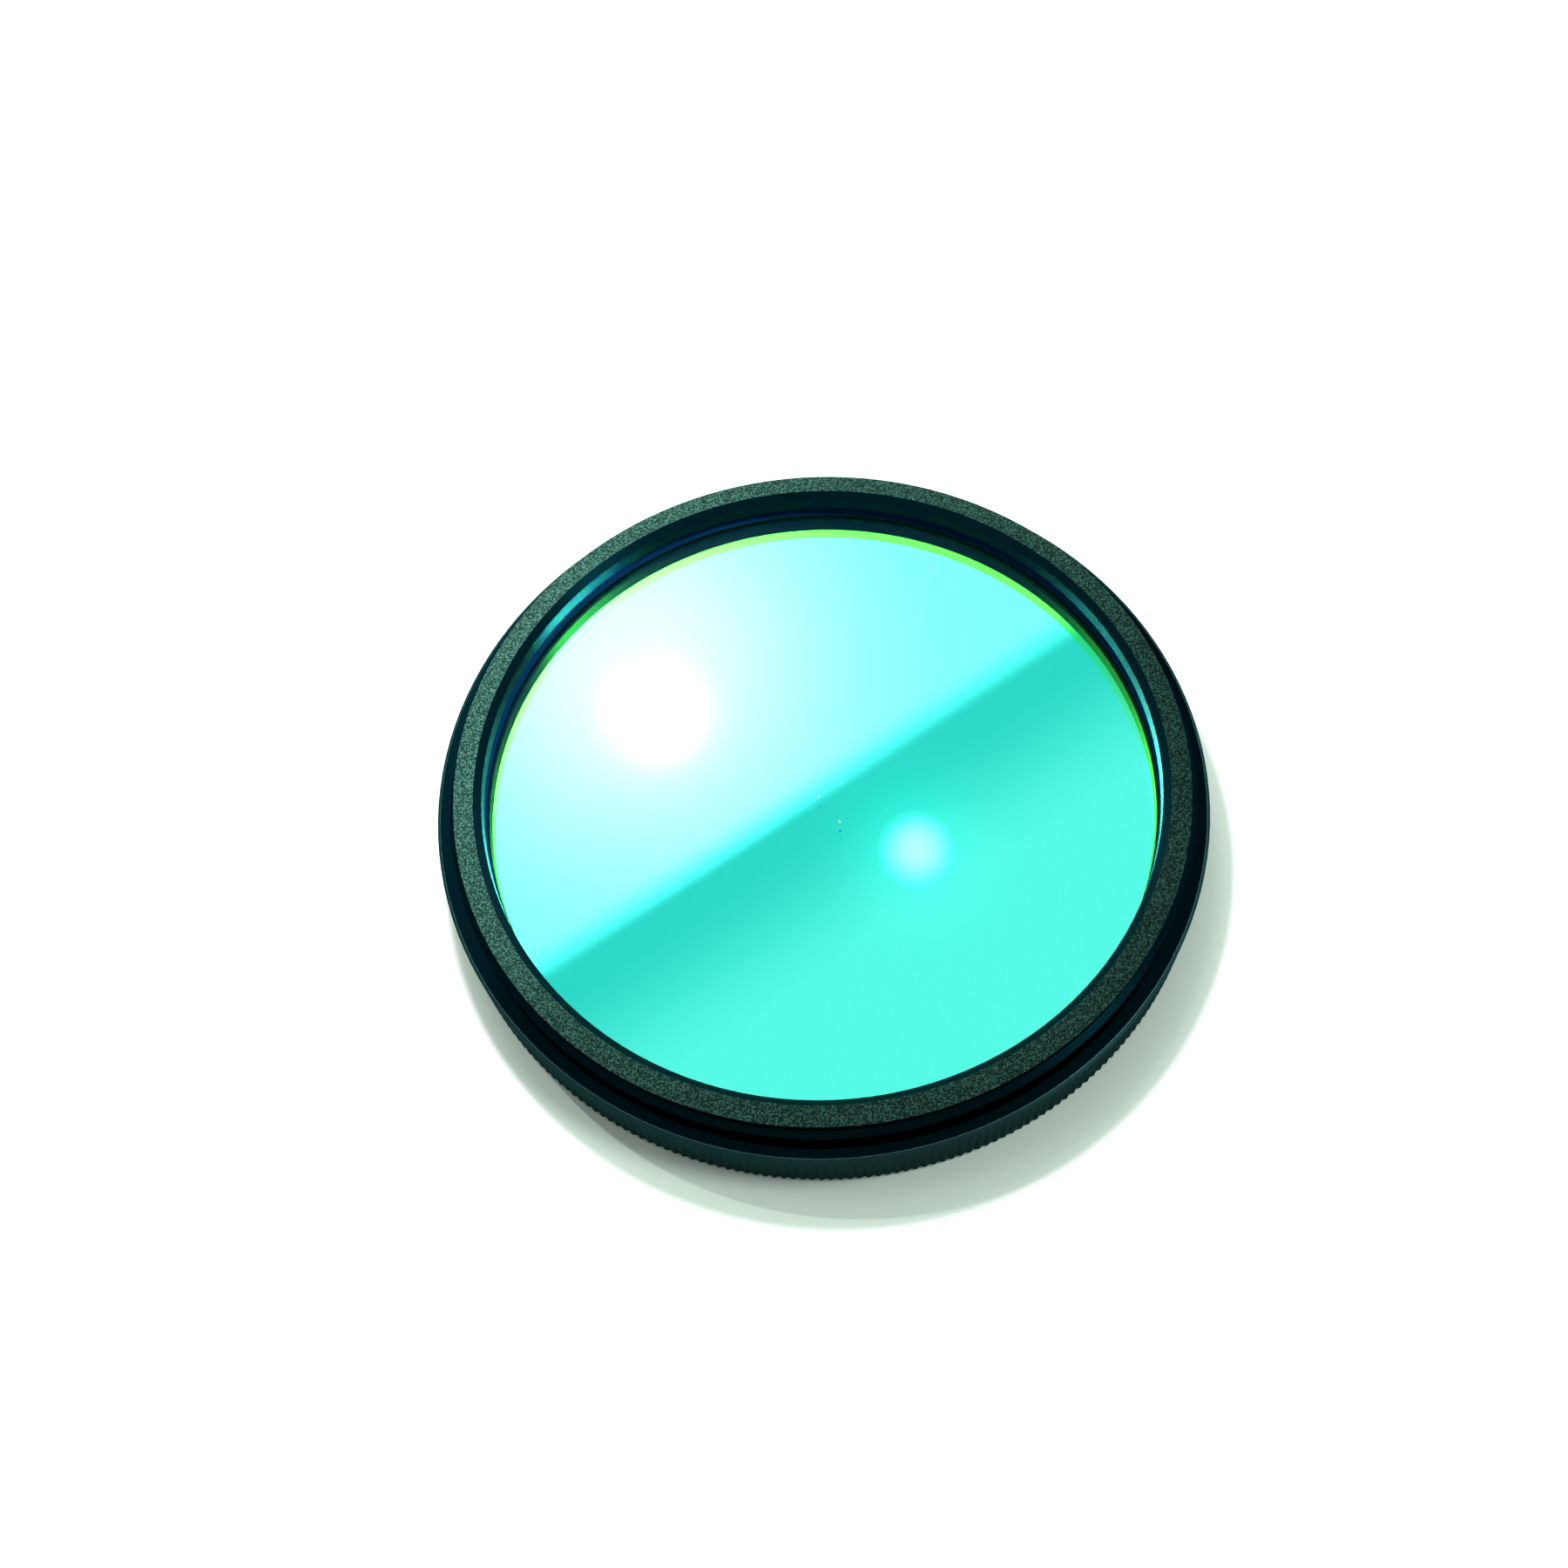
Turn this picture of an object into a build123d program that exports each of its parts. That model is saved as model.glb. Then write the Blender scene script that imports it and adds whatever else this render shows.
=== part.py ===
from build123d import *

import math
import os

# Screw-in optical bandpass filter: a coated glass disc in a short round metal cell.
# Millimetres. The origin is the centre of the cell's bottom face and +Z is the optical axis,
# towards the male thread. The cell stands on its bottom face.

# The fine 48 mm filter thread: the boss is plain at its core and the mouth at its root.
# Every other diameter follows from it.
thread_major_d = 47.9
thread_pitch = 0.75
male_thread_depth = 0.5413 * thread_pitch
female_root_clearance = 0.10
female_thread_depth = 2.05

# Cell, outside
boss_height = 1.95
flange_overhang = 1.05
flange_d = thread_major_d + 2 * flange_overhang
flange_height = 4.30
flange_top_bevel = 0.18
flange_top_bevel_width = 0.22
flange_rim_height = 0.12
rim_groove_height = 0.12
flange_bottom_bevel = 0.20
flange_bottom_bevel_width = 0.08
boss_edge_chamfer = 0.03

# Grip: straight V teeth round the flange, under a smooth rim and a narrow groove
grip_tooth_count = 275
grip_tooth_depth = 0.12
grip_skin = 0.03
grip_rooted = 0.30

# Cell, inside
aperture_inset = 2.15
clear_aperture_d = thread_major_d - 2 * aperture_inset
aperture_top_chamfer = 0.45
lip_thickness = 1.55
lip_seat_chamfer = 0.15
mouth_chamfer = 0.20

# Glass disc
glass_overlap = 0.95
glass_d = clear_aperture_d + 2 * glass_overlap
glass_thickness = 1.90
glass_edge_chamfer = 0.12
glass_side_clearance = 0.15
glass_proud_of_shelf = 0.10

# Retaining ring, screwed into its own smaller thread from below against the glass
ring_inset = 0.55
ring_width = 1.50
ring_outer_d = thread_major_d - 2 * ring_inset
ring_inner_d = ring_outer_d - 2 * ring_width
ring_thickness = 0.70
ring_side_clearance = 0.05
ring_edge_chamfer = 0.10
ring_slot_width = 1.20
ring_slot_depth = 0.35
ring_slot_overrun = 0.50

# Worked-out sizes
total_height = flange_height + boss_height
boss_r = thread_major_d / 2 - male_thread_depth
flange_rim_r = flange_d / 2
grip_crest_r = flange_rim_r
grip_root_r = grip_crest_r - grip_tooth_depth
flange_core_r = grip_root_r - grip_skin
rim_top_z = flange_height - flange_top_bevel
rim_bottom_z = rim_top_z - flange_rim_height
grip_top_z = rim_bottom_z - rim_groove_height
grip_height = grip_top_z - flange_bottom_bevel
aperture_r = clear_aperture_d / 2
female_root_r = thread_major_d / 2 + female_root_clearance
seat_z = total_height - lip_thickness
glass_r = glass_d / 2
pocket_r = glass_r + glass_side_clearance
glass_bottom_z = seat_z - glass_thickness
shelf_z = glass_bottom_z + glass_proud_of_shelf
ring_outer_r = ring_outer_d / 2
ring_bore_r = ring_outer_r + ring_side_clearance
ring_bottom_z = glass_bottom_z - ring_thickness


def turned(points):
    """A solid of revolution round Z from (radius, height) points."""
    outline = Polyline(*[(r, 0, z) for r, z in points], close=True)
    return revolve(make_face(outline), Axis.Z)


def make_grip():
    """The toothed band: an extruded ring whose outline goes from crest to root and back."""
    half_pitch = math.pi / grip_tooth_count
    corners = []
    for step in range(2 * grip_tooth_count):
        radius = grip_crest_r if step % 2 == 0 else grip_root_r
        corners.append((radius * math.cos(step * half_pitch), radius * math.sin(step * half_pitch)))
    toothed = make_face(Polyline(*corners, close=True)) - Circle(grip_root_r - grip_rooted)
    return Pos(0, 0, flange_bottom_bevel) * extrude(toothed, grip_height)


def make_filter_cell():
    """The turned ring: knurled flange, thread boss, aperture lip, glass pocket, ring bore and mouth."""
    turned_body = turned([
        (aperture_r, seat_z + lip_seat_chamfer),
        (aperture_r, total_height - aperture_top_chamfer),
        (aperture_r + aperture_top_chamfer, total_height),
        (boss_r - boss_edge_chamfer, total_height),
        (boss_r, total_height - boss_edge_chamfer),
        (boss_r, flange_height),
        (flange_rim_r - flange_top_bevel_width, flange_height),
        (flange_rim_r, rim_top_z),
        (flange_rim_r, rim_bottom_z),
        (flange_core_r, rim_bottom_z),
        (flange_core_r, flange_bottom_bevel),
        (flange_core_r - flange_bottom_bevel_width, 0),
        (female_root_r + mouth_chamfer, 0),
        (female_root_r, mouth_chamfer),
        (female_root_r, female_thread_depth),
        (ring_bore_r, female_thread_depth),
        (ring_bore_r, shelf_z),
        (pocket_r, shelf_z),
        (pocket_r, seat_z),
        (aperture_r + lip_seat_chamfer, seat_z),
    ])
    return turned_body + make_grip()


def make_filter_glass():
    """The coated disc, with its ground edge chamfers."""
    c = glass_edge_chamfer
    return turned([
        (0, glass_bottom_z),
        (glass_r - c, glass_bottom_z),
        (glass_r, glass_bottom_z + c),
        (glass_r, seat_z - c),
        (glass_r - c, seat_z),
        (0, seat_z),
    ])


def make_retaining_ring():
    """The slotted ring that holds the glass against the lip."""
    inner_r = ring_inner_d / 2
    c = ring_edge_chamfer
    ring = turned([
        (inner_r, ring_bottom_z + c),
        (inner_r, glass_bottom_z),
        (ring_outer_r - c, glass_bottom_z),
        (ring_outer_r, glass_bottom_z - c),
        (ring_outer_r, ring_bottom_z + c),
        (ring_outer_r - c, ring_bottom_z),
        (inner_r + c, ring_bottom_z),
    ])
    slot_length = ring_outer_d + 2 * ring_slot_overrun
    slots = Pos(0, 0, ring_bottom_z) * Box(slot_length, ring_slot_width, 2 * ring_slot_depth)
    return ring - slots


os.makedirs("parts", exist_ok=True)
for node, make in (
    ("filter_cell", make_filter_cell),
    ("filter_glass", make_filter_glass),
    ("retaining_ring", make_retaining_ring),
):
    solid = make()
    solid.label = node
    export_step(solid, f"parts/{node}.step")
    print(node, round(solid.volume, 3))
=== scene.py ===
import math

import bmesh
import bpy
from mathutils import Matrix, Vector


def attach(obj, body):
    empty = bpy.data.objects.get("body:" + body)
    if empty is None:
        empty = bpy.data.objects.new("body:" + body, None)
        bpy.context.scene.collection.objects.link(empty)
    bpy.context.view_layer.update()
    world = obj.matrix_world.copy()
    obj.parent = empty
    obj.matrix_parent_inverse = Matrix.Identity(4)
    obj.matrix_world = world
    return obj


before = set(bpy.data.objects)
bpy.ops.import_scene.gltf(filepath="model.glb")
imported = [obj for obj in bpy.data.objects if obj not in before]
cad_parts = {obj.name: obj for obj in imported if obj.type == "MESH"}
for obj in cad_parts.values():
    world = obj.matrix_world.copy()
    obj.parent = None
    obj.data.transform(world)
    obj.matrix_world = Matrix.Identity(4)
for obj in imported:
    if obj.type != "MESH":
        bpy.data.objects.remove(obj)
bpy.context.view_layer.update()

MM = 0.001
WHITE = (1, 1, 1, 1)

# Sizes of the part that the looks are built on
TOP_Z = 6.25 * MM
LEDGE_Z = 4.30 * MM
SEAT_Z = 4.70 * MM
SEAT_CHAMFER = 0.15 * MM
GLASS_BACK_Z = 2.80 * MM
LIP_WALL_R = 21.80 * MM
POCKET_R = 22.90 * MM
BOSS_R = 23.544 * MM
LEDGE_OUTER_R = 24.78 * MM
APERTURE_EDGE_R = 22.25 * MM
CREST_R = 23.95 * MM
MOUTH_R = 24.05 * MM
MOUTH_CREST_R = 23.60 * MM
THREAD_PITCH = 0.75 * MM
THREAD_ROOT_SHARE = 0.46
THREAD_CREST_SHARE = 0.06
MALE_THREAD_Z = (4.33 * MM, 6.20 * MM)
FEMALE_THREAD_Z = (0.20 * MM, 2.03 * MM)
SLACK = 0.02 * MM

# The glass: a layer inside it that mirrors green, and a back face that mirrors blue
COATING_Z = 3.60 * MM
COATING_R = 22.70 * MM
GLASS_IOR = 1.52
SHEEN_SHARE = 0.003
SHEEN = (0.4, 1, 1, 1)
BLUE_MIRROR = (0.01, 0.02, 0.73, 1)
DEEP_RED = (0.035, 0.002, 0.002, 1)
GREEN_MIRROR = (0.075, 0.88, 0.055, 1)
PAST_GREEN = (0.90, 0.03, 0.94, 1)
HAZE = (0.003, 0.075, 0.230, 1)

# The camera, from the view that was measured in the photo
PHOTO_SIZE = 1800
FOCAL_PX = 1800
SENSOR = 36
CAMERA_ELEVATION = math.radians(61.448)
CAMERA_ROLL = math.radians(-5.679)
CAMERA_DISTANCE = 100.36 * MM
TOP_CENTRE_PX = (939.765, 879.137)

# Specks of dust on the glass, as photo pixels and a radius
DUST = (
    (940.0, 914.5, 0.080 * MM),
    (963.9, 943.3, 0.070 * MM),
    (1073.0, 652.0, 0.060 * MM),
    (966.0, 899.0, 0.045 * MM),
)
DUST_COLOUR = (0.80, 0.84, 0.82, 1)

# Black anodised skin: on the blasted top, on the smooth lip wall, boss and ledge, and on the grip
SKIN = (0.0115, 0.0350, 0.0275)
WALL_SKIN = (0.0030, 0.0420, 0.0580)
GRIP_SKIN = (0.0180, 0.0560, 0.0570)
BLASTED = 0.28
SMOOTH = 0.24
GLOSSY = 0.12
DULL = 0.45
EDGE_TINT = (0.35, 0.35, 0.35, 1)
DIP_AT = 0.44
DIP_SHADE = 0.42
GRAIN_AT = 0.66
GRAIN_SHADE = 2.6
GRAIN_SCALE = 7800
BUMP_SCALE = GRAIN_SCALE * 1.3
BUMP_DEPTH = 0.02 * MM
GRAIN_BUMP = 0.30
# The ledge's skin is darkened to this share, partly as a smoother machined skin and partly as painted
# shade at the boss's foot
LEDGE_SKIN_AND_SHADE = 0.10
BOSS_SHARE = 0.40
# A thin painted highlight along the flange's top edge: its width, and how much it brightens the skin
RIM_GLINT_WIDTH = 0.05 * MM
RIM_GLINT_SHARE = 3.0
# Painted glow: a faint navy light given off by the glass seat and pocket under the lip
PAINTED_SEAT_GLOW = (0.001, 0.006, 0.032, 1)

# Floor, and the circle past which it is seen as plain white
FLOOR_HALF_SIZE = 1.5
FLOOR_COLOUR = (0.76, 0.92, 0.80, 1)
FLOOR_ROUGHNESS = 0.9
SHADOW_CENTRE = (0.8 * MM, -1.9 * MM)
SHADOW_END = (25.8 * MM, 26.6 * MM)
WHITE_LIGHT = 0.7

# Sky: its light at the horizon and above, and the heights between which it turns
HORIZON_LIGHT = 0.90
SKY_LIGHT = 0.25
HORIZON_BAND = (0.04, 0.22)

# How far the lamps stand from the origin, in metres
LAMP_DISTANCE = 0.80

# The card faces the mirrored camera squarely, so a place on it, divided by its distance, is the
# picture place that it shows up at. Its places and widths are photo pixels.
CARD_DISTANCE = 0.500
CARD_HALF_SIZE = 0.170
CARD_PX = CARD_DISTANCE / FOCAL_PX
MIRROR_Z = TOP_Z - 2.27 * MM
EDGE_FROM = (1230, 720)
EDGE_TO = (625, 1110)
EDGE_SPREAD = (-18, 32)
LIT_PLACE = (725, 763)
LIT_RADIUS = 199
LIT_PEAK = 8.1
LIT_BASE = 2.56
LAMP_PLACE = (755, 820)
LAMP_RADIUS = 45.5
LAMP_PEAK = 15.0
SPOT_PLACE = (1052, 975)
SPOT_CORE = (3, 47)
SPOT_PEAK = 4.75
SPOT_HALO_RADIUS = 70
SPOT_HALO_PEAK = 0.25
DIM_SPREAD = (-192, -35)
DIM_RED = (1.10, 0.30)
DIM_CYAN = (1.09, 0.79)


# Camera
def make_camera():
    """The photo's viewpoint. It also gives the camera's right, up and back directions."""
    back = Vector((0, -math.cos(CAMERA_ELEVATION), math.sin(CAMERA_ELEVATION)))
    level_right = Vector((1, 0, 0))
    level_up = back.cross(level_right)
    right = level_right * math.cos(CAMERA_ROLL) + level_up * math.sin(CAMERA_ROLL)
    up = level_up * math.cos(CAMERA_ROLL) - level_right * math.sin(CAMERA_ROLL)
    turn = Matrix((right, up, back)).transposed()
    to_top = pixel_ray(*TOP_CENTRE_PX).normalized() * CAMERA_DISTANCE
    data = bpy.data.cameras.new("camera")
    data.sensor_width = SENSOR
    data.sensor_height = SENSOR
    data.sensor_fit = "HORIZONTAL"
    data.lens = SENSOR * FOCAL_PX / PHOTO_SIZE
    data.clip_start = 0.005
    data.clip_end = 20
    obj = bpy.data.objects.new("camera", data)
    obj.matrix_world = Matrix.Translation(Vector((0, 0, TOP_Z)) - turn @ to_top) @ turn.to_4x4()
    bpy.context.scene.collection.objects.link(obj)
    bpy.context.scene.camera = obj
    return obj, right, up, back


def pixel_ray(u, v):
    """The direction, in the camera's own axes, in which a photo pixel lies."""
    middle = PHOTO_SIZE / 2
    return Vector(((u - middle) / FOCAL_PX, (middle - v) / FOCAL_PX, -1))


def place_at_height(u, v, z):
    """The point at height z that a photo pixel shows."""
    start = camera.matrix_world.translation
    ray = camera.matrix_world.to_3x3() @ pixel_ray(u, v)
    return start + ray * ((z - start.z) / ray.z)


camera, camera_right, camera_up, camera_back = make_camera()


# Materials
class Nodes:
    """A material's node tree, with short calls for the nodes used here."""

    def __init__(self, name):
        self.material = bpy.data.materials.new(name)
        self.material.use_nodes = True
        self.tree = self.material.node_tree
        self.tree.nodes.clear()
        self.out = self.tree.nodes.new("ShaderNodeOutputMaterial")
        self.place = self.new("ShaderNodeTexCoord").outputs["Object"]
        parts = self.new("ShaderNodeSeparateXYZ")
        self.join(self.place, parts.inputs[0])
        self.x, self.y, self.z = parts.outputs

    def new(self, kind, **values):
        node = self.tree.nodes.new(kind)
        for key, value in values.items():
            setattr(node, key, value)
        return node

    def join(self, output, socket):
        self.tree.links.new(output, socket)

    def put(self, socket, value):
        if isinstance(value, bpy.types.NodeSocket):
            self.join(value, socket)
        else:
            socket.default_value = value

    def show(self, shader):
        self.join(shader, self.out.inputs[0])
        return self.material

    def math(self, operation, a, b=0.0):
        node = self.new("ShaderNodeMath", operation=operation)
        self.put(node.inputs[0], a)
        self.put(node.inputs[1], b)
        return node.outputs[0]

    def distance(self, x=0.0, y=0.0):
        """How far a point is from (x, y), seen from above."""
        dx = self.math("SUBTRACT", self.x, x)
        dy = self.math("SUBTRACT", self.y, y)
        return self.math("SQRT", self.math("ADD", self.math("POWER", dx, 2), self.math("POWER", dy, 2)))

    def between(self, value, low, high):
        above = self.math("GREATER_THAN", value, low)
        return self.math("MULTIPLY", above, self.math("LESS_THAN", value, high))

    def smooth(self, value, low, high, to_low=0.0, to_high=1.0):
        node = self.new("ShaderNodeMapRange", interpolation_type="SMOOTHSTEP")
        names = ("Value", "From Min", "From Max", "To Min", "To Max")
        for name, v in zip(names, (value, low, high, to_low, to_high)):
            self.put(node.inputs[name], v)
        return node.outputs[0]

    def blend(self, factor, a, b):
        """From number a at factor 0 to number b at factor 1."""
        node = self.new("ShaderNodeMapRange")
        for name, v in (("Value", factor), ("To Min", a), ("To Max", b)):
            self.put(node.inputs[name], v)
        return node.outputs[0]

    def mix_colour(self, factor, a, b):
        node = self.new("ShaderNodeMix", data_type="RGBA")
        self.put(node.inputs[0], factor)
        self.put(node.inputs[6], a)
        self.put(node.inputs[7], b)
        return node.outputs[2]

    def mix_shader(self, factor, a, b):
        node = self.new("ShaderNodeMixShader")
        self.put(node.inputs[0], factor)
        self.join(a, node.inputs[1])
        self.join(b, node.inputs[2])
        return node.outputs[0]

    def add_shader(self, a, b):
        node = self.new("ShaderNodeAddShader")
        self.join(a, node.inputs[0])
        self.join(b, node.inputs[1])
        return node.outputs[0]

    def shader(self, kind, **values):
        """A shader node. A name's underscores stand for the spaces in its socket's name."""
        node = self.new(kind)
        for name, value in values.items():
            self.put(node.inputs[name.replace("_", " ")], value)
        return node

    def noise(self, scale, detail, roughness):
        node = self.new("ShaderNodeTexNoise")
        self.join(self.place, node.inputs["Vector"])
        node.inputs["Scale"].default_value = scale
        node.inputs["Detail"].default_value = detail
        node.inputs["Roughness"].default_value = roughness
        return node.outputs[0]


def anodised_shader(n, colour, roughness=BLASTED, strength=GRAIN_BUMP):
    """Bead-blasted metal under a dyed skin: colour, with a fine grain in its normal."""
    node = n.shader("ShaderNodeBsdfPrincipled", Base_Color=colour, Metallic=1.0, Roughness=roughness)
    bump = n.new("ShaderNodeBump")
    n.put(bump.inputs["Strength"], strength)
    bump.inputs["Distance"].default_value = BUMP_DEPTH
    n.put(bump.inputs["Height"], n.noise(BUMP_SCALE, detail=1.0, roughness=0.6))
    n.join(bump.outputs[0], node.inputs["Normal"])
    return node


def grains(n):
    """The brightness of the blasted skin: bright grains on darker dips."""
    cells = n.noise(GRAIN_SCALE, detail=2.0, roughness=0.7)
    return n.smooth(cells, DIP_AT, GRAIN_AT, DIP_SHADE, GRAIN_SHADE)


def scaled(n, colour, factor):
    node = n.new("ShaderNodeVectorMath", operation="SCALE")
    n.put(node.inputs[0], colour)
    n.put(node.inputs["Scale"], factor)
    return node.outputs[0]


def cell_material():
    """The cell's skin: grained on top, smooth on the lip wall, boss and ledge, dull on the grip."""
    n = Nodes("cell_look")
    r = n.distance()
    wall = n.math("LESS_THAN", r, APERTURE_EDGE_R)
    boss = n.math("MULTIPLY", n.math("GREATER_THAN", r, BOSS_R - SLACK),
                  n.between(n.z, LEDGE_Z + SLACK, TOP_Z - SLACK))
    ledge = n.math("MULTIPLY", n.between(n.z, LEDGE_Z - SLACK, LEDGE_Z + SLACK),
                   n.between(r, BOSS_R - SLACK, LEDGE_OUTER_R))
    grip = n.math("MULTIPLY", n.math("LESS_THAN", n.z, LEDGE_Z - SLACK), n.math("GREATER_THAN", r, BOSS_R))
    # Painted highlight: a thin bright line on the flange's top edge
    painted_rim_glint = n.math("MULTIPLY", n.between(n.z, LEDGE_Z - RIM_GLINT_WIDTH, LEDGE_Z + SLACK),
                      n.math("GREATER_THAN", r, LEDGE_OUTER_R - SLACK))
    dark = n.math("MAXIMUM", wall, n.math("MAXIMUM", boss, ledge))
    plain = n.math("MAXIMUM", dark, grip)
    level = n.blend(plain, grains(n), 1.0)
    # The ledge's share darkens it partly as painted shade; the rim line's share brightens it as a painted
    # highlight
    for zone, share in ((boss, BOSS_SHARE), (ledge, LEDGE_SKIN_AND_SHADE), (painted_rim_glint, RIM_GLINT_SHARE)):
        level = n.math("MULTIPLY", level, n.blend(zone, 1.0, share))
    colour = n.mix_colour(dark, (*SKIN, 1), (*WALL_SKIN, 1))
    colour = n.mix_colour(grip, colour, (*GRIP_SKIN, 1))
    roughness = BLASTED
    for zone, value in ((wall, SMOOTH), (ledge, GLOSSY), (grip, DULL)):
        roughness = n.blend(zone, roughness, value)
    metal = anodised_shader(n, scaled(n, colour, level), roughness, n.blend(plain, GRAIN_BUMP, 0.0))
    n.put(metal.inputs["Specular Tint"], n.mix_colour(wall, EDGE_TINT, WHITE))
    # Painted glow: the seat and pocket under the glass give off a faint navy light
    painted_glow_zone = n.math("MULTIPLY", n.between(n.z, GLASS_BACK_Z, SEAT_Z + SEAT_CHAMFER),
                  n.math("LESS_THAN", r, POCKET_R + SLACK))
    metal.inputs["Emission Color"].default_value = PAINTED_SEAT_GLOW
    n.put(metal.inputs["Emission Strength"], painted_glow_zone)
    return n.show(metal.outputs[0])


def ring_material():
    """The retaining ring's skin, the same blasted finish as the cell's."""
    n = Nodes("ring_look")
    metal = anodised_shader(n, scaled(n, SKIN, grains(n)))
    metal.inputs["Specular Tint"].default_value = EDGE_TINT
    return n.show(metal.outputs[0])


def dust_mask(n):
    """One where a speck of dust lies on the glass."""
    mask = 0.0
    for u, v, radius in DUST:
        place = place_at_height(u, v, SEAT_Z)
        mask = n.math("MAXIMUM", mask, n.math("LESS_THAN", n.distance(place.x, place.y), radius))
    return mask


def glass_material():
    """Clear glass with an antireflection front. The coating on its back face mirrors blue."""
    n = Nodes("coated_glass_look")
    shadow = n.new("ShaderNodeLightPath").outputs["Is Shadow Ray"]
    bend = n.shader("ShaderNodeBsdfRefraction", IOR=GLASS_IOR, Roughness=0.0)
    sheen = n.shader("ShaderNodeBsdfAnisotropic", Color=SHEEN, Roughness=0.0)
    clear = n.shader("ShaderNodeBsdfTransparent")
    speck = n.shader("ShaderNodeBsdfDiffuse", Color=DUST_COLOUR)
    front = n.mix_shader(SHEEN_SHARE, bend.outputs[0], sheen.outputs[0])
    front = n.mix_shader(dust_mask(n), front, speck.outputs[0])
    front = n.mix_shader(shadow, front, clear.outputs[0])
    mirror = n.shader("ShaderNodeBsdfAnisotropic", Color=BLUE_MIRROR, Roughness=0.0)
    through = n.shader("ShaderNodeBsdfRefraction", Color=DEEP_RED, IOR=GLASS_IOR, Roughness=0.0)
    tinted = n.shader("ShaderNodeBsdfTransparent", Color=DEEP_RED)
    back = n.mix_shader(shadow, n.add_shader(mirror.outputs[0], through.outputs[0]), tinted.outputs[0])
    is_back = n.math("LESS_THAN", n.z, GLASS_BACK_Z + SLACK)
    return n.show(n.mix_shader(is_back, front, back))


def coating_material():
    """The inner interference layer: it mirrors green, passes blue, and is hazy under the lip."""
    n = Nodes("inner_coating_look")
    shadow = n.new("ShaderNodeLightPath").outputs["Is Shadow Ray"]
    mirror = n.shader("ShaderNodeBsdfAnisotropic", Color=GREEN_MIRROR, Roughness=0.0)
    onward = n.shader("ShaderNodeBsdfTransparent", Color=PAST_GREEN)
    haze = n.shader("ShaderNodeBsdfDiffuse", Color=HAZE)
    under_lip = n.math("GREATER_THAN", n.distance(), LIP_WALL_R)
    layer = n.mix_shader(under_lip, n.add_shader(mirror.outputs[0], onward.outputs[0]), haze.outputs[0])
    return n.show(n.mix_shader(shadow, layer, onward.outputs[0]))


def dress(node, material):
    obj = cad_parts[node]
    obj.data.materials.clear()
    obj.data.materials.append(material)


cell_look = cell_material()
dress("filter_cell", cell_look)
dress("retaining_ring", ring_material())
dress("filter_glass", glass_material())


# Pieces of the object
def add_piece(name, mesh, material):
    obj = bpy.data.objects.new(name, mesh)
    bpy.context.scene.collection.objects.link(obj)
    obj.data.materials.append(material)
    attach(obj, "root")
    return obj


def coating_disc(name, sides=128):
    """The interference layer inside the glass, as one flat round face."""
    angles = [2 * math.pi * i / sides for i in range(sides)]
    points = [(COATING_R * math.cos(a), COATING_R * math.sin(a), COATING_Z) for a in angles]
    mesh = bpy.data.meshes.new(name)
    mesh.from_pydata(points, [], [tuple(range(sides))])
    return add_piece(name, mesh, coating_material())


def helix_thread(name, root_r, crest_r, span, steps=180, fade=0.5):
    """A V thread ridge wound on a wall. It is right-handed and runs out at both ends."""
    bottom_z, top_z = span
    bm = bmesh.new()
    turns = (top_z - bottom_z) / THREAD_PITCH - 1
    root_half = THREAD_PITCH * THREAD_ROOT_SHARE
    crest_half = THREAD_PITCH * THREAD_CREST_SHARE
    sunk_r = root_r + math.copysign(SLACK, root_r - crest_r)
    rows = []
    for i in range(int(turns * steps) + 1):
        t = i / steps
        full = max(min(1, t / fade, (turns - t) / fade), 0)
        edge_r = root_r + (crest_r - root_r) * full
        a = 2 * math.pi * t
        z = bottom_z + THREAD_PITCH * (0.5 + t)
        flat = crest_half * full
        profile = ((sunk_r, -root_half), (edge_r, -flat), (edge_r, flat), (sunk_r, root_half))
        rows.append([bm.verts.new((r * math.cos(a), r * math.sin(a), z + dz)) for r, dz in profile])
    for low, high in zip(rows, rows[1:]):
        for k in range(4):
            bm.faces.new((low[k], low[(k + 1) % 4], high[(k + 1) % 4], high[k]))
    bm.faces.new(rows[0])
    bm.faces.new(rows[-1])
    bmesh.ops.recalc_face_normals(bm, faces=bm.faces)
    mesh = bpy.data.meshes.new(name)
    bm.to_mesh(mesh)
    bm.free()
    return add_piece(name, mesh, cell_look)


coating_disc("inner_coating")
helix_thread("male_thread_ridge", BOSS_R, CREST_R, MALE_THREAD_Z)
helix_thread("female_thread_ridge", MOUTH_R, MOUTH_CREST_R, FEMALE_THREAD_Z)


# Studio: floor, lamps, sky and the card that the glass mirrors
def stage_plane(name, half_size, matrix, material):
    h = half_size
    mesh = bpy.data.meshes.new(name)
    mesh.from_pydata([(-h, -h, 0), (h, -h, 0), (h, h, 0), (-h, h, 0)], [], [(0, 1, 2, 3)])
    obj = bpy.data.objects.new(name, mesh)
    obj.matrix_world = matrix
    bpy.context.scene.collection.objects.link(obj)
    obj.data.materials.append(material)


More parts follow.
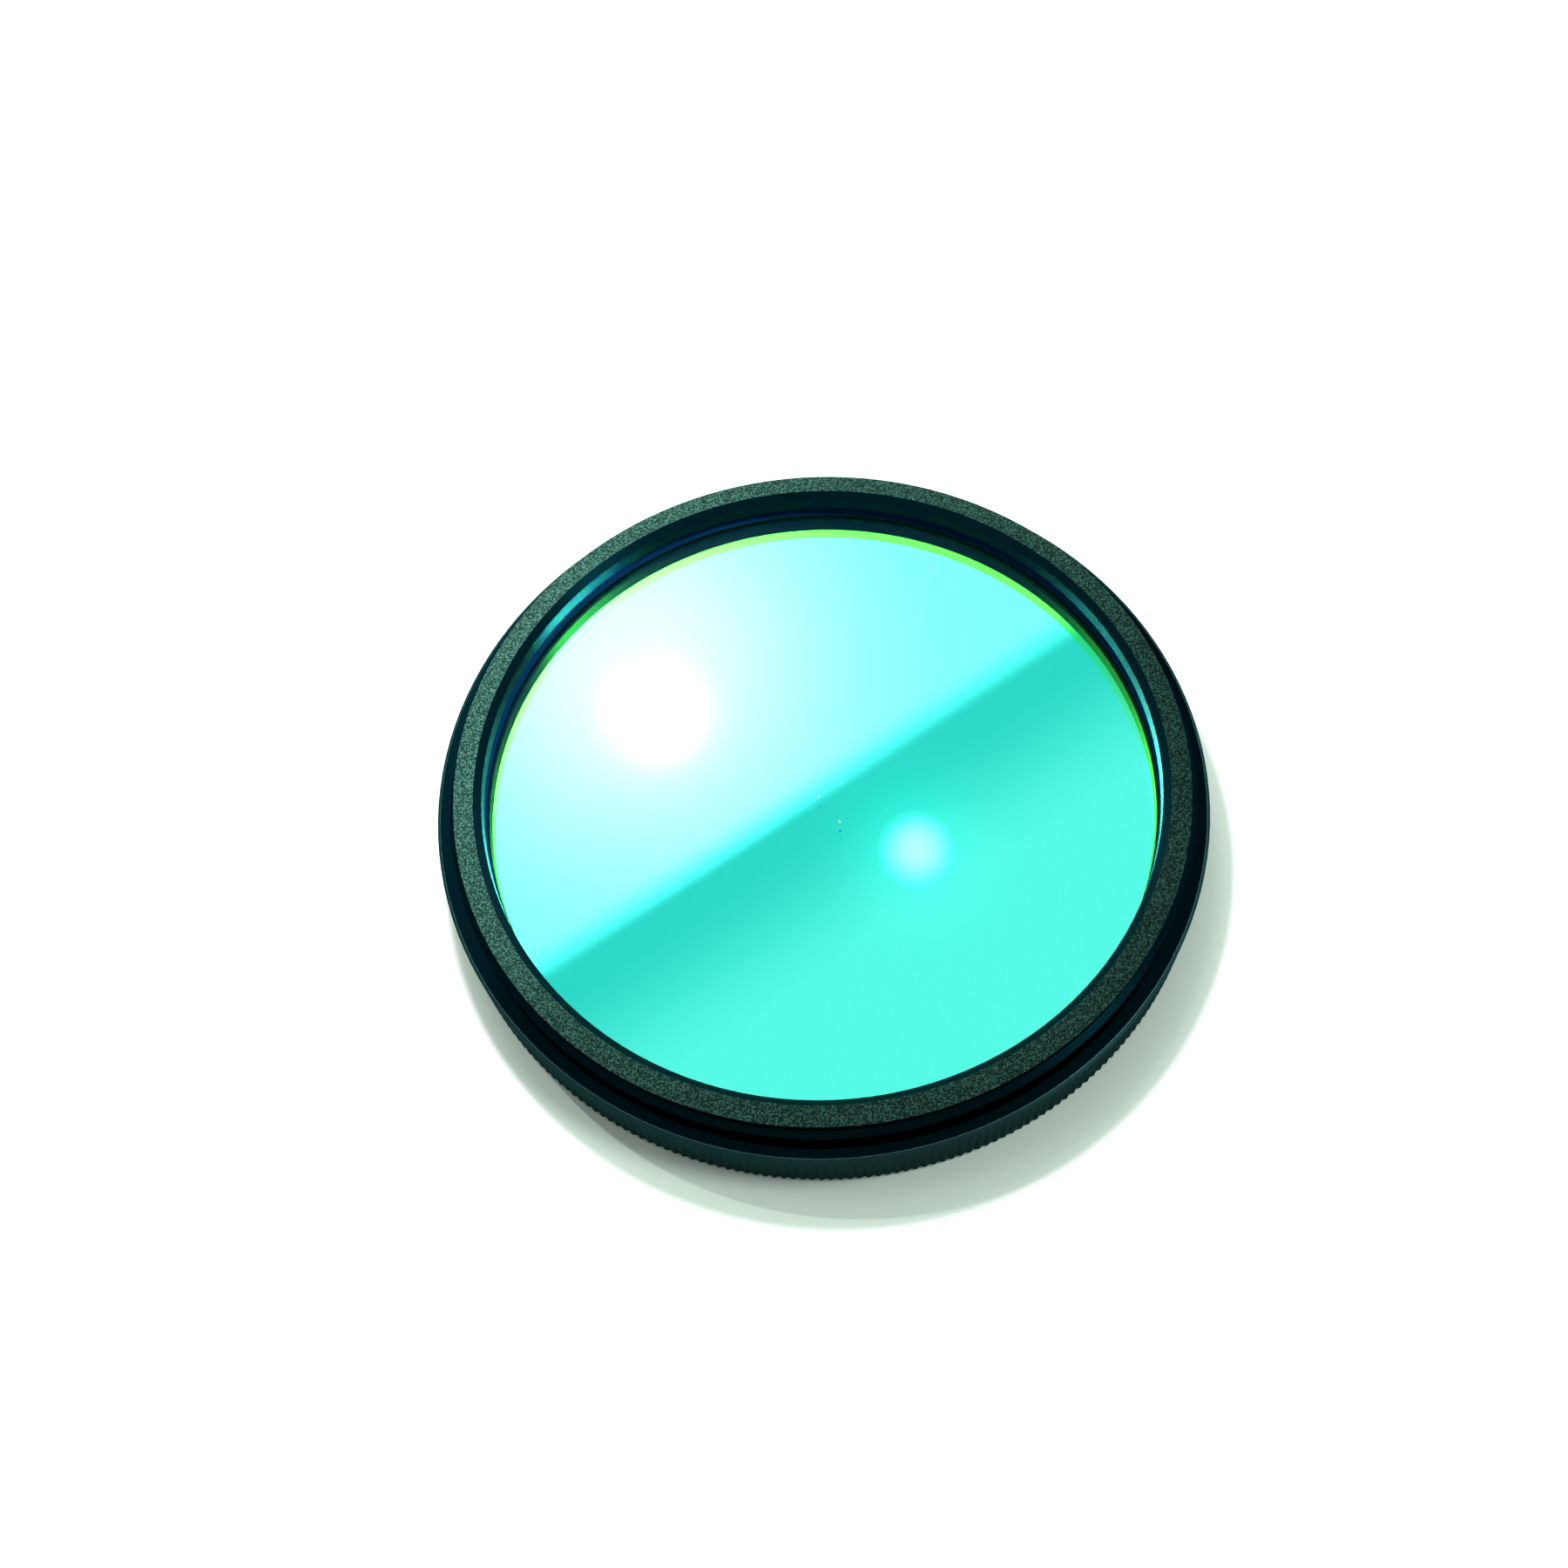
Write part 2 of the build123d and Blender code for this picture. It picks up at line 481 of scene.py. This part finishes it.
def floor_material():
    """Pale floor. Past the object's shadow the camera, mirrors and glass see it as plain white."""
    n = Nodes("floor_look")
    paper = n.shader(
        "ShaderNodeBsdfPrincipled", Base_Color=FLOOR_COLOUR, Roughness=FLOOR_ROUGHNESS,
        Specular_IOR_Level=0.0, Emission_Color=WHITE,
    )
    rays = n.new("ShaderNodeLightPath").outputs
    seen = rays["Is Camera Ray"]
    for kind in ("Is Glossy Ray", "Is Transmission Ray"):
        seen = n.math("MAXIMUM", seen, rays[kind])
    past_shadow = n.smooth(n.distance(*SHADOW_CENTRE), *SHADOW_END, 0.0, WHITE_LIGHT)
    n.join(n.math("MULTIPLY", seen, past_shadow), paper.inputs["Emission Strength"])
    return n.show(paper.outputs[0])


def card_place(u, v):
    """Where on the card, in metres, a photo pixel's reflection lies."""
    return (u - PHOTO_SIZE / 2) * CARD_PX, (PHOTO_SIZE / 2 - v) * CARD_PX


def card_material():
    """A bright and a dim half with a soft diagonal edge, a wide glow, a lamp and a smaller spot."""
    n = Nodes("card_look")

    def from_place(place):
        return n.math("DIVIDE", n.distance(*card_place(*place)), CARD_PX)

    def glow(place, radius, strength):
        """A round soft light that falls as exp(-(distance / radius)^2)."""
        fall = n.math("POWER", n.math("DIVIDE", from_place(place), radius), 2)
        return n.math("MULTIPLY", n.math("EXPONENT", n.math("MULTIPLY", fall, -1.0)), strength)

    start = Vector(card_place(*EDGE_FROM))
    along = (Vector(card_place(*EDGE_TO)) - start).normalized()
    normal = Vector((along.y, -along.x))
    if normal.dot(Vector(card_place(*LIT_PLACE)) - start) < 0:
        normal = -normal
    across = n.math("ADD", n.math("MULTIPLY", n.x, normal.x), n.math("MULTIPLY", n.y, normal.y))
    across = n.math("DIVIDE", n.math("SUBTRACT", across, normal.dot(start)), CARD_PX)

    lit = n.smooth(across, *EDGE_SPREAD)
    bright = n.math("ADD", glow(LIT_PLACE, LIT_RADIUS, LIT_PEAK), LIT_BASE)
    spot = n.smooth(from_place(SPOT_PLACE), *SPOT_CORE, SPOT_PEAK, 0.0)
    red_spots = n.math("ADD", spot, glow(LAMP_PLACE, LAMP_RADIUS, LAMP_PEAK))
    cyan_spots = n.math("ADD", spot, glow(SPOT_PLACE, SPOT_HALO_RADIUS, SPOT_HALO_PEAK))
    tones = []
    for dim_tones, spots in ((DIM_RED, red_spots), (DIM_CYAN, cyan_spots)):
        dim = n.smooth(across, *DIM_SPREAD, *dim_tones)
        tones.append(n.math("ADD", n.blend(lit, dim, bright), spots))
    tone = n.new("ShaderNodeCombineXYZ")
    for socket, value in zip(tone.inputs, (tones[0], tones[1], tones[1])):
        n.join(value, socket)
    light = n.shader("ShaderNodeEmission", Color=tone.outputs[0])
    return n.show(light.outputs[0])


def mirrored_card_matrix():
    """The card's place, straight ahead of the camera's mirror image under the glass."""
    mirror = Vector((1, 1, -1))
    place = camera.matrix_world.translation * mirror
    place.z += 2 * MIRROR_Z
    card_x = camera_right * mirror
    card_y = camera_up * mirror
    card_back = camera_back * mirror
    turn = Matrix((card_x, card_y, card_x.cross(card_y))).transposed()
    return Matrix.Translation(place - card_back * CARD_DISTANCE) @ turn.to_4x4()


def lamp_from(name, azimuth, slope, size, floor_light):
    """A disc lamp whose shadows run slope x height along the floor, away from azimuth (degrees)."""
    elevation = math.atan2(1, slope)
    a = math.radians(azimuth)
    place = Vector((
        math.cos(a) * math.cos(elevation), math.sin(a) * math.cos(elevation), math.sin(elevation)
    )) * LAMP_DISTANCE
    data = bpy.data.lights.new(name, "AREA")
    data.shape = "DISK"
    data.size = size
    data.energy = floor_light * math.pi ** 2 * LAMP_DISTANCE ** 2 / math.sin(elevation)
    obj = bpy.data.objects.new(name, data)
    obj.location = place
    obj.rotation_euler = (-place).to_track_quat("-Z", "Y").to_euler()
    bpy.context.scene.collection.objects.link(obj)


stage_plane("floor", FLOOR_HALF_SIZE, Matrix.Translation((0, 0, -SLACK)), floor_material())
stage_plane("reflected_card", CARD_HALF_SIZE, mirrored_card_matrix(), card_material())
lamp_from("lamp_right", azimuth=50, slope=0.50, size=0.016, floor_light=0.38)
lamp_from("lamp_left", azimuth=132, slope=0.745, size=0.016, floor_light=0.17)
lamp_from("panel_side", azimuth=-6, slope=0.55, size=0.22, floor_light=0.30)
lamp_from("panel_low", azimuth=-32, slope=2.40, size=0.30, floor_light=0.020)
lamp_from("panel_right", azimuth=54, slope=0.55, size=0.11, floor_light=0.15)
lamp_from("panel_left", azimuth=158, slope=0.55, size=0.24, floor_light=0.06)


def studio_sky():
    """Soft grey overhead light that pales towards the horizon, like a lit backdrop."""
    world = bpy.data.worlds.new("studio")
    world.use_nodes = True
    tree = world.node_tree
    direction = tree.nodes.new("ShaderNodeTexCoord")
    parts = tree.nodes.new("ShaderNodeSeparateXYZ")
    rise = tree.nodes.new("ShaderNodeMapRange")
    rise.interpolation_type = "SMOOTHSTEP"
    tree.links.new(direction.outputs["Generated"], parts.inputs[0])
    tree.links.new(parts.outputs["Z"], rise.inputs["Value"])
    names = ("From Min", "From Max", "To Min", "To Max")
    for name, value in zip(names, (*HORIZON_BAND, HORIZON_LIGHT, SKY_LIGHT)):
        rise.inputs[name].default_value = value
    tree.links.new(rise.outputs[0], tree.nodes["Background"].inputs["Strength"])
    tree.nodes["Background"].inputs["Color"].default_value = WHITE
    bpy.context.scene.world = world


studio_sky()
bpy.context.scene.view_settings.view_transform = "Standard"
